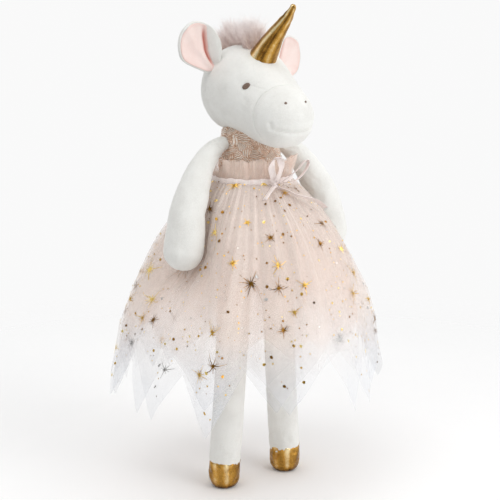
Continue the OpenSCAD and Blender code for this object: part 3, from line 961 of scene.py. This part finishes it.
def make_mane():
    """A tuft of long pile along the crown, in small locks that draw together at their tips."""
    rng = np.random.default_rng(SEED)
    low, high = box_corners("mane")
    s = np.linspace(0, 1, 5)[None, :, None]
    lines = []
    for _ in range(LOCKS):
        along = rng.uniform(0.0, 1.0)
        y = low[1] + (high[1] - low[1]) * (0.02 + 0.96 * along)
        rise, wide, tall = head_section((NECK[1] - y) / MM)
        x = float(np.clip(rng.normal(0, 0.45), -1, 1) * 8.5)
        root = np.array([x * MM, y, NECK[2] + (rise + tall * math.sqrt(1 - (x / wide) ** 2) - 1.2) * MM])
        hump = 0.70 + 0.30 * abs(math.sin(math.pi * (along * 1.7 + 0.22)))
        reach = 34.0 * hump * rng.uniform(0.6, 1.0) * (1 - 0.3 * (x / 9) ** 2) * MM
        aside = x / 9 * 0.5 + rng.normal(0, 0.16)
        lean = np.array([aside, rng.normal(0.14, 0.2) + 0.5 * (along - 0.45), 1.0])
        curl = np.array([rng.normal(0, 0.2), rng.normal(0.1, 0.25), -0.12])
        spread = rng.normal(0, 1.15 * MM, (FIBRES_PER_LOCK, 1, 3)) * (1, 1, 0.2)
        length = rng.uniform(0.7, 1.05, (FIBRES_PER_LOCK, 1, 1))
        way = unit(lean) + rng.normal(0, 0.05, (FIBRES_PER_LOCK, 1, 3))
        lines.append(root + spread * (1 - 0.7 * s) + length * reach * (way * s + 0.6 * curl * s**2))
    verts, faces = fibre_mesh(np.concatenate(lines), 0.14 * MM)
    mane = new_piece("mane_fibres", verts, faces, MANE_FIBRE)
    ride(mane, "head", "long_pile", "mane")


make_mane()

# ---------------------------------------------------------------- torso


def oval_rings(rows, count):
    """Level rings through rows of height, half-width, half-depth and place along Y, in millimetres."""
    z, wide, deep, y = (column[:, None] for column in spline(rows, count).T)
    a = angles(140)
    return np.stack([wide * np.cos(a), y + deep * np.sin(a), z + 0 * a], -1) * MM


def make_torso():
    """Bodice of crinkled foil cloth and the plush seat under it."""
    neck, waist, seat = NECK[2] / MM, WAIST_Z / MM, SEAT_Z / MM
    rings = oval_rings([
        (neck + 8, 21.5, 21.0, 4.5), (neck + 2, 25.5, 24.5, 4.0), (neck - 6, 27.0, 26.0, 3.2),
        (neck - 16, 28.0, 27.0, 3.0), (neck - 28, 29.5, 28.5, 2.0), (waist, 30.0, 30.0, 0.0),
    ], 70)
    crinkle = 0.35 * waves(rings, 0.010, 12) + 0.2 * waves(rings, 0.004, 13)
    rings += unit(rings * (1, 1, 0)) * crinkle[..., None] * MM
    bodice = loft("bodice_skin", rings, ROSE_FOIL)
    stiff, turning = (0, 0, NECK[2] - 10 * MM), (0, 0, NECK[2] + 2 * MM)
    bend(bodice, "neck", stiff, turning, "rose_foil", "bodice_shell")
    rings = oval_rings([
        (waist + 1, 29.6, 29.6, 0.0), (waist - 9, 34.0, 32.0, 0.0), (waist - 18, 37.0, 33.0, -2.0),
        (waist - 25, 35.0, 30.5, -3.0), (seat, 28.0, 23.0, -3.0), (seat - 1.2, 12.0, 10.0, -3.0),
    ], 40)
    seat_piece = loft("seat_skin", rings, WHITE_PLUSH)
    ride(seat_piece, "torso", "white_plush", "hip_shell", "torso_stuffing")


make_torso()

# ---------------------------------------------------------------- arms and legs

# Middle line of the left arm from its seam on the bodice, in millimetres from the shoulder's
# pivot, and its radius
ARM_LINE = [
    (-11.0, 2.5, 6.0, 6.0), (-5.0, 2.5, 4.5, 7.2), (1.0, 2.0, 1.0, 8.4), (9.5, 0.0, -6.5, 9.8),
    (19.2, -2.5, -18.5, 11.8), (28.7, -6.0, -35.0, 14.3), (35.7, -9.0, -52.0, 16.2),
    (40.7, -11.0, -70.0, 17.2), (43.2, -12.0, -86.0, 17.6),
]
LIMB_COLS = 72


def with_round_end(line, radii):
    """Adds a dome at the end of a line of ring middles."""
    a = np.linspace(0, math.pi / 2, 15)[1:]
    tip = line[-1] + unit(line[-1] - line[-2]) * (radii[-1] * np.sin(a))[:, None]
    return np.vstack([line, tip]), np.concatenate([radii, np.maximum(radii[-1] * np.cos(a), 0.2 * MM)])


def mirrored(points, side):
    """Points as they are on the left, or in mirror image for the right."""
    return points * np.array([side, 1, 1])


def stuffed(line, radii, rows, last, cap):
    """Rings of a limb, settled as a tube of plush with its stuffing's pressure inside."""
    held = sewn_rows(rows, 4, last, 3)
    rings = tube_rings(line, radii, LIMB_COLS)
    return at_rest(rings, rows, 36, held, spare=0.02, bending=0.5, pressure=3.0, gravity=0.0, cap=cap)


def make_arms():
    for name, side in (("left", 1), ("right", -1)):
        rows = spline(ARM_LINE, 90)
        line, radii = with_round_end(SHOULDER + rows[:, :3] * MM, rows[:, 3] * MM)
        rings = stuffed(line, radii, 44, 2, 1.8 * MM)
        spokes = rings - line[:, None]
        swell = 0.022 * waves(rings, 0.035, 30 + side) + 0.008 * waves(rings, 0.012, 40 + side)
        along = np.arange(len(line))[:, None]
        tucks = -0.07 * bell(along - 17, 3.0) * (0.5 + 0.5 * np.sin(angles(LIMB_COLS) * 2 + 1.2))
        rings = line[:, None] + spokes * (1 + swell + tucks)[..., None]
        arm = loft("arm_skin_" + name, mirrored(rings, side), WHITE_PLUSH)
        inner, outer = SHOULDER + np.array([-8, 0, 6]) * MM, SHOULDER + np.array([8, 0, -7]) * MM
        bend(arm, "arm_" + name, mirrored(inner, side), mirrored(outer, side), "white_plush",
             f"arm_{name}_shell", f"arm_{name}_stuffing")


make_arms()


def make_legs():
    thigh, ankle = 16.2 * MM, 14.6 * MM
    for name, side in (("left", 1), ("right", -1)):
        top = HIP + np.array([-1.0, 0, 17.0]) * MM
        between = [HIP * share + SOLE * (1 - share) for share in (0.66, 0.33)]
        line = spline([top, HIP, *between, SOLE + [0, 0, HOOF_TOP - 2 * MM]], 130)
        t = np.linspace(0, 1, 130)
        radii = thigh + (ankle - thigh) * smooth_step(t, 0.1, 0.75)
        radii = radii * (0.82 + 0.18 * smooth_step(t, 0.0, 0.06)) * (1 - 0.035 * smooth_step(t, 0.97, 1.0))
        rings = stuffed(line, radii, 60, 1, 1.5 * MM)
        spokes = rings - line[:, None]
        swell = 0.02 * waves(rings, 0.04, 50 + side) + 0.007 * waves(rings, 0.014, 60 + side)
        rings = line[:, None] + spokes * (1 + swell)[..., None]
        leg = loft("leg_skin_" + name, mirrored(rings, side), WHITE_PLUSH)
        bend(leg, "leg_" + name, (0, 0, HIP[2] + 12 * MM), (0, 0, HIP[2] - 12 * MM), "white_plush",
             f"leg_{name}_shell", f"leg_{name}_stuffing")
        make_hoof(name, side, line[-1])


def make_hoof(name, side, ankle_at):
    """Gold foil cap with a gathered edge, a seam down its front and a flat sole."""
    heights = [0.0, 0.15, 0.9, 2.5, 5.0, 8.5, 13.0, 18.0, 23.0, 25.2, 26.2, 26.2, 25.4]
    radii = [4.0, 8.6, 10.8, 12.4, 13.6, 14.3, 14.7, 14.8, 14.7, 14.6, 14.2, 13.7, 13.4]
    h, r = (column[:, None] for column in spline(list(zip(heights, radii)), 90).T)
    a = angles(96)
    lean = (ankle_at - SOLE)[:2]
    rise = np.clip(h / (HOOF_TOP / MM), 0, 1.2)
    x, y = (SOLE[k] + lean[k] * rise + r * way(a) * MM for k, way in enumerate((np.cos, np.sin)))
    rings = np.stack([x, y, h * MM + 0 * a], -1)
    spokes = np.stack([np.cos(a), np.sin(a), 0 * a], -1)[None]
    upper, rim = smooth_step(h, 2.0, 7.0), smooth_step(h, 20.0, 26.0)
    front = -math.pi / 2 - 0.25 * side
    seam = bell(wrapped(a - front, WHOLE_TURN), 0.08)
    wrinkles = 0.4 * waves(rings, 0.009, 70 + side) + 0.16 * waves(rings, 0.004, 80 + side) - 0.7 * seam
    edge = 0.22 * np.sin(23 * a) * rim
    rings = rings + spokes * ((wrinkles * upper + edge) * MM)[..., None]
    uneven = 0.25 * MM * waves(rings, 0.02, 90) * smooth_step(h, 14.0, 24.0)
    rings[..., 2] = np.maximum(rings[..., 2] + uneven, 0)
    hoof = loft("hoof_skin_" + name, mirrored(rings, side), GOLD)
    # Painted reflection: light and dark streaks set by the angle round the hoof, with painted shade towards
    # the sole and in the seam, and a lighter rim.
    around = np.degrees(a) if side > 0 else 180 - np.degrees(a)
    turn = wrapped(around + 125)
    reflection_bands = 0.22 + 0.55 * bell(turn - 12, 17) + 0.35 * bell(turn + 38, 14)
    reflection_bands = reflection_bands + 0.5 * bell(np.abs(turn) - 130, 30)
    reflection_bands = reflection_bands * (0.35 + 0.65 * upper) + 0.15 * rim - 0.2 * seam
    paint(hoof, "band", np.append(reflection_bands.ravel(), [0.1, 0.3]))
    ride(hoof, "leg_" + name, "gold_lame", "hoof_" + name)


make_legs()

# ---------------------------------------------------------------- skirt

SKIRT_ROWS, SKIRT_COLS = 72, 460
SKIRT_TOP = WAIST_Z + 3 * MM
# Radius of the outer layer by height, and how far the hanging arms press it in, in millimetres
SKIRT_PROFILE = np.array([
    (85, 127), (120, 123), (138, 119.5), (165, 117), (189, 111), (207, 104), (220, 99), (233, 93), (245, 86),
    (256, 78), (266, 69), (276, 58), (286, 46.5), (295, 36.4), (300, 36.4),
])
ARM_DENT = np.array([
    (160, 0), (178, 4), (196, 13), (210, 24), (222, 31), (234, 33),
    (245, 28), (256, 21), (267, 13), (278, 5), (290, 0),
])


def turn_from(a, *places):
    """Degrees from each angle a to the nearest of some places round the waist."""
    return np.minimum(*[np.abs(wrapped(np.degrees(a) - place)) for place in places])


class Layer:
    """One gathered layer of tulle: a bell round the waist, with pleats that open into folds."""

    def __init__(self, waist_r, share, seed, fold, pleats, hem):
        rng = np.random.default_rng(seed)
        big = [
            (n, rng.uniform(0.5, 1.0), rng.uniform(0, 6.3), rng.uniform(-0.5, 0.5))
            for n in (5, 7, 11, 13, 17)
        ]
        small = [(n, rng.uniform(0.6, 1.0), rng.uniform(0, 6.3)) for n in (23, 31, 43, 59)]
        a = (np.arange(SKIRT_COLS) / SKIRT_COLS * WHOLE_TURN - math.pi / 2)[None, :]
        s = np.linspace(0, 1, SKIRT_ROWS)[:, None]
        z = SKIRT_TOP / MM + (hem(a) - SKIRT_TOP / MM) * s
        down = SKIRT_TOP / MM - z
        r = waist_r + (np.interp(z, *SKIRT_PROFILE.T) - SKIRT_PROFILE[-1, 1]) * share
        drop = smooth_step(down, 4, 95)
        folds = sum(k * np.sin(n * a + p + d * s * 6) for n, k, p, d in big) / 2.2
        folds = np.where(folds > 0, folds, -np.abs(folds) ** 1.25)
        pleat = sum(k * np.sin(n * a + p + 2.5 * s) for n, k, p in small) / 1.8
        near = bell(turn_from(a, -8, 188), 21)
        r = r - np.interp(z, *ARM_DENT.T) * near + fold * folds * drop * (1 - 0.6 * near)
        r += pleats * pleat * smooth_step(down, 0, 14) * (1 - 0.8 * smooth_step(down, 20, 130))
        sway = smooth_step(down, 60, 170)
        grid = np.stack([r * np.cos(a) - 5.0 * sway, r * np.sin(a) + 3.5 * sway, z], -1) * MM
        self.grid = at_rest(grid, 36, 230, sewn_rows(36, 1, 0, 2), spare=0.025, bending=0.1, pressure=0.0,
                            gravity=0.02, cap=3.5 * MM)

    def point(self, a, s):
        """Points at angles a (from +X, towards the back) and shares s of the way from waist to hem."""
        a, s = np.broadcast_arrays(np.asarray(a, float), np.asarray(s, float))
        row = np.clip(s, 0, 1) * (SKIRT_ROWS - 1)
        col = ((a / WHOLE_TURN + 0.25) % 1) * SKIRT_COLS
        i, j = np.minimum(row.astype(int), SKIRT_ROWS - 2), col.astype(int) % SKIRT_COLS
        u, v = (row - i)[..., None], (col - col.astype(int))[..., None]
        next_j, grid = (j + 1) % SKIRT_COLS, self.grid
        above, below = (grid[k, j] * (1 - v) + grid[k, next_j] * v for k in (i, i + 1))
        return above * (1 - u) + below * u


def tips(seed, low, depth, count):
    """Hem of pointed ends, uneven in place and length."""
    rng = np.random.default_rng(seed)
    places = (np.arange(count) + rng.uniform(-0.28, 0.28, count)) / count * WHOLE_TURN
    drops = rng.uniform(0.62, 1.0, count)

    def hem(a):
        away = np.abs(wrapped(a[..., None] - places, WHOLE_TURN)) * count / math.pi
        reach = (drops * np.clip(1 - away / 1.15, 0, 1) ** 1.2).max(-1)
        return low + depth * (1 - reach)

    return hem


OUTER = Layer(36.0, 1.0, 3, 7.5, 1.6, tips(5, 80, 74, 11))
OUTER_BACKING = Layer(35.2, 0.975, 3, 7.5, 1.4, tips(6, 87, 70, 10))
UNDER = Layer(33.6, 0.93, 11, 5.0, 1.1, tips(7, 122, 34, 12))
LINING = Layer(32.0, 0.88, 15, 4.5, 1.0, tips(9, 150, 22, 14))

# Points given to bend() for where the skirt would start to follow a leg and follow it fully; bend() does not
# use them
BEND_START = (0.0, 0.0, 0.288)
BEND_END = (0.0, -0.220, 0.225)


def half_skirt(name, layer, side, material):
    """The left or right half of a layer, from the middle of its front to the middle of its back."""
    half = SKIRT_COLS // 2
    first = 0 if side > 0 else half
    points = layer.grid[:, np.arange(first, first + half + 1) % SKIRT_COLS]
    piece = new_piece(name, points.reshape(-1, 3), grid_faces(SKIRT_ROWS, half + 1, wrap=False), material)
    paint_folds(piece, points)
    return piece


def make_skirt():
    layers = (
        ("tulle_outer", OUTER, TULLE, "tulle", ("skirt_front", "skirt_back"), (0.40, 0.19)),
        ("tulle_second", OUTER_BACKING, TULLE, "tulle", (), (0.39, 0.185)),
        ("tulle_under", UNDER, UNDER_TULLE, "tulle", ("underskirt",), (0.36, 0.165)),
        ("tulle_lining", LINING, LINING_TULLE, "lining_tulle", ("lining",), (0.33, 0.14)),
    )
    for name, layer, material, slot, nodes, flat in layers:
        for word, side in (("left", 1), ("right", -1)):
            piece = half_skirt(f"{name}_{word}", layer, side, material)
            replaced = [f"{node}_{word}" for node in nodes]
            bend(piece, "leg_" + word, BEND_START, BEND_END, slot, *replaced)


make_skirt()


def starburst(rng, size):
    """Polygons of an uneven starburst round the origin, in millimetres: a core and thin rays."""
    count = int(rng.integers(9, 15))
    first = rng.uniform(0, 6.3)
    core = 0.7 + size * 0.08
    polygons = [[(core * math.cos(t), core * math.sin(t)) for t in np.arange(8) * math.pi / 4]]
    for k in range(count):
        t = first + (k + rng.uniform(-0.25, 0.25)) / count * WHOLE_TURN
        long = size * (rng.uniform(0.85, 1.15) if k % 3 == 0 else rng.uniform(0.40, 0.75))
        c, s = math.cos(t), math.sin(t)
        stops = [(0.3 * core, 0.50), (0.45 * long, 0.30), (long, 0.14)]
        left, right = ([(c * r - s * w * way, s * r + c * w * way) for r, w in stops] for way in (1, -1))
        polygons += [[left[0], left[1], right[1], right[0]], [left[1], left[2], right[2], right[1]]]
    return polygons


def fleck(rng, size):
    """A small uneven dot of foil, in millimetres."""
    corners = [(size * rng.uniform(0.7, 1.1), t) for t in np.arange(6) * math.pi / 3]
    return [[(r * math.cos(t), r * math.sin(t)) for r, t in corners]]


# Kinds of foil print: how many on each side, least gap and radii in millimetres
PRINTS = ((starburst, 46, 15.0, 5.5, 11.5), (fleck, 140, 5.5, 0.9, 1.8), (fleck, 340, 3.0, 0.45, 0.9))
MOST_TRIES = 5000
STEEPEST = 0.86
FOIL_SHARES = (0.44, 0.28, 0.18, 0.10)


def print_frame(a, share):
    """The outer layer's directions at a place: per radian round it and per share down it, and outwards."""
    down = (OUTER.point(a, share + 0.02) - OUTER.point(a, share - 0.02)) / 0.04
    round_ = (OUTER.point(a + 0.03, share) - OUTER.point(a - 0.03, share)) / 0.06
    return round_, down, np.array([math.cos(a), math.sin(a), 0.3])


def printed(polygon, a, share, cloth):
    """Points of a flat polygon, in millimetres, laid on the outer layer round a place."""
    round_, down, out = cloth
    x, z = np.array(polygon).T
    level = unit(round_)
    steep = unit(down - level * (down @ level))
    step_s = MM / (down @ steep)
    step_a = MM / np.linalg.norm(round_)
    skew = -(down @ level) * step_s / MM * step_a
    on_cloth = OUTER.point(a + x * step_a + z * skew, np.minimum(share + z * step_s, 1.0))
    return on_cloth + out * 0.5 * MM


def make_stars():
    """Foil stars and dots printed on the outer layer: thin flakes that follow its folds."""
    for word, side in (("left", 1), ("right", -1)):
        rng = np.random.default_rng(100 + side)
        verts, faces, kinds, placed = [], [], [], []
        for shape, count, gap, small, large in PRINTS:
            made = tries = 0
            while made < count and tries < MOST_TRIES:
                tries += 1
                a = math.radians(rng.uniform(-87, 87))
                a = a if side > 0 else math.pi - a
                share = 0.02 + 0.93 * rng.uniform(0.0, 1.0) ** 1.1
                at = OUTER.point(a, share)
                if any(np.linalg.norm(at - q) < max(gap, g * 0.5) * MM for q, g in placed):
                    continue
                cloth = print_frame(a, share)
                facing = np.cross(cloth[0], cloth[1])
                if shape is starburst and abs(facing @ cloth[2]) < STEEPEST * np.linalg.norm(facing):
                    continue
                placed.append((at, gap))
                made += 1
                # Each flake takes a lit or shaded copy of the foil at random: painted light and shade.
                kind = int(rng.choice(4, p=FOIL_SHARES))
                size = rng.uniform(small, large)
                if shape is starburst:
                    size *= 0.7 + 0.3 * smooth_step(share, 0.1, 0.5)
                for polygon in shape(rng, size):
                    faces.append(tuple(range(len(verts), len(verts) + len(polygon))))
                    verts += list(printed(polygon, a, share, cloth))
                    kinds.append(kind)
        stars = new_piece("foil_stars_" + word, verts, faces, STAR_FOILS[0], smooth=False)
        for material in STAR_FOILS[1:]:
            stars.data.materials.append(material)
        stars.data.polygons.foreach_set("material_index", kinds)
        bend(stars, "leg_" + word, BEND_START, BEND_END, "gold_lame")


make_stars()


def make_frill():
    """Two plies of the gathered heading above the elastic, lower where the arms press on it."""
    rows, cols = 26, 620
    a = angles(cols)
    s = np.linspace(0, 1, rows)[:, None]
    near = bell(turn_from(a, 0, 180), 11)
    plies = (
        ("frill_tulle", ("waist_frill", "waist_elastic"), (0.29, 0.018)),
        ("frill_inner", (), (0.27, 0.016)),
    )
    for number, (name, nodes, flat) in enumerate(plies):
        rng = np.random.default_rng(77 + number)

        def gathers(*counts):
            return sum(rng.uniform(0.6, 1) * np.sin(n * a + rng.uniform(0, 6.3)) for n in counts)

        pleat = gathers(14, 19, 27) / 1.7
        slow = gathers(9, 14) / 1.4
        height = 17.5 - number - 10.0 * near + 1.3 * slow + 1.8 * pleat
        z = WAIST_Z / MM + 2 + s * height
        r = 36.6 - 1.6 * number + s * (5.5 - 4.5 * near) - 2.5 * s**2 * (1 - near) + 1.0 * s * slow
        r = r + (0.8 + 2.8 * s) * pleat * (1 - 0.5 * near)
        points = np.stack([r * np.cos(a), r * np.sin(a), z], -1) * MM
        frill = new_piece(name, points.reshape(-1, 3), grid_faces(rows, cols), FRILL_TULLE)
        paint_folds(frill, points)
        ride(frill, "torso", "tulle", *nodes)


make_frill()

# ---------------------------------------------------------------- ribbon


def make_band():
    """The ribbon round the waist: a thin rounded section swept round, ruffled by the elastic."""
    cols = 240
    a = angles(cols)
    profile = [
        (-3.1, 0.0), (-2.8, 0.45), (-1.2, 0.75), (1.2, 0.75),
        (2.8, 0.45), (3.1, 0.0), (2.6, -0.3), (-2.6, -0.3),
    ]
    rows = []
    for dz, dr in profile:
        r = WAIST_R / MM - 0.2 + dr + 0.35 * np.sin(31 * a)
        z = WAIST_Z / MM + dz * 0.85 + 0.4 * np.sin(9 * a) + 0.3 * np.sin(23 * a + 1)
        rows.append(np.stack([r * np.cos(a), r * np.sin(a), z], -1) * MM)
    rows.append(rows[0])
    band = new_piece("ribbon_round_waist", np.concatenate(rows), grid_faces(len(rows), cols), SATIN)
    ride(closed(band, join=1e-6), "torso", "satin", "ribbon_band")


def make_bow():
    """The creased knot, both loops and the short end."""
    t = np.linspace(0, 1, 40)
    line = middle("bow_knot")[0] + np.array([[-1.4, 0.6, 3.4]]) * MM * (1 - 2 * t)[:, None]
    ends = np.abs(1 - 2 * t)
    radii = (2.1 + 0.9 * ends**1.5) * MM * np.sqrt(np.clip(1 - ends**6, 0.003, 1))
    rings = tube_rings(line, radii, 48, squash=1.25)
    creases = 1 + 0.10 * np.sin(7 * angles(48))
    rings = line[:, None] + (rings - line[:, None]) * creases[None, :, None]
    ride(loft("ribbon_knot", rings, SATIN), "torso", "satin", "bow_knot")
    parts = (
        ("ribbon_loop_left", "bow_loop_left", LEFT_LOOP),
        ("ribbon_loop_right", "bow_loop_right", RIGHT_LOOP),
        ("ribbon_end_left", "ribbon_tail_left", LEFT_TAIL),
    )
    for name, node, route in parts:
        ride(ribbon_strip(name, route)[0], "torso", "satin", node)


make_band()
make_bow()

# ---------------------------------------------------------------- the neck's stuffing keeps its CAD shape


def fill_neck():
    s = Shader("fibre_filling", Roughness=1.0, Sheen_Weight=0.3)
    fluff = s.noise(500.0, 4.0, 0.7)
    s.set("Base Color", s.ramp(fluff, (0.3, rgb(226, 225, 221)), (0.7, rgb(248, 247, 244))))
    s.bump((fluff, 0.0008, 0.7))
    materials = frame["nodes"]["neck_stuffing"].data.materials
    materials.clear()
    materials.append(s.material)


fill_neck()
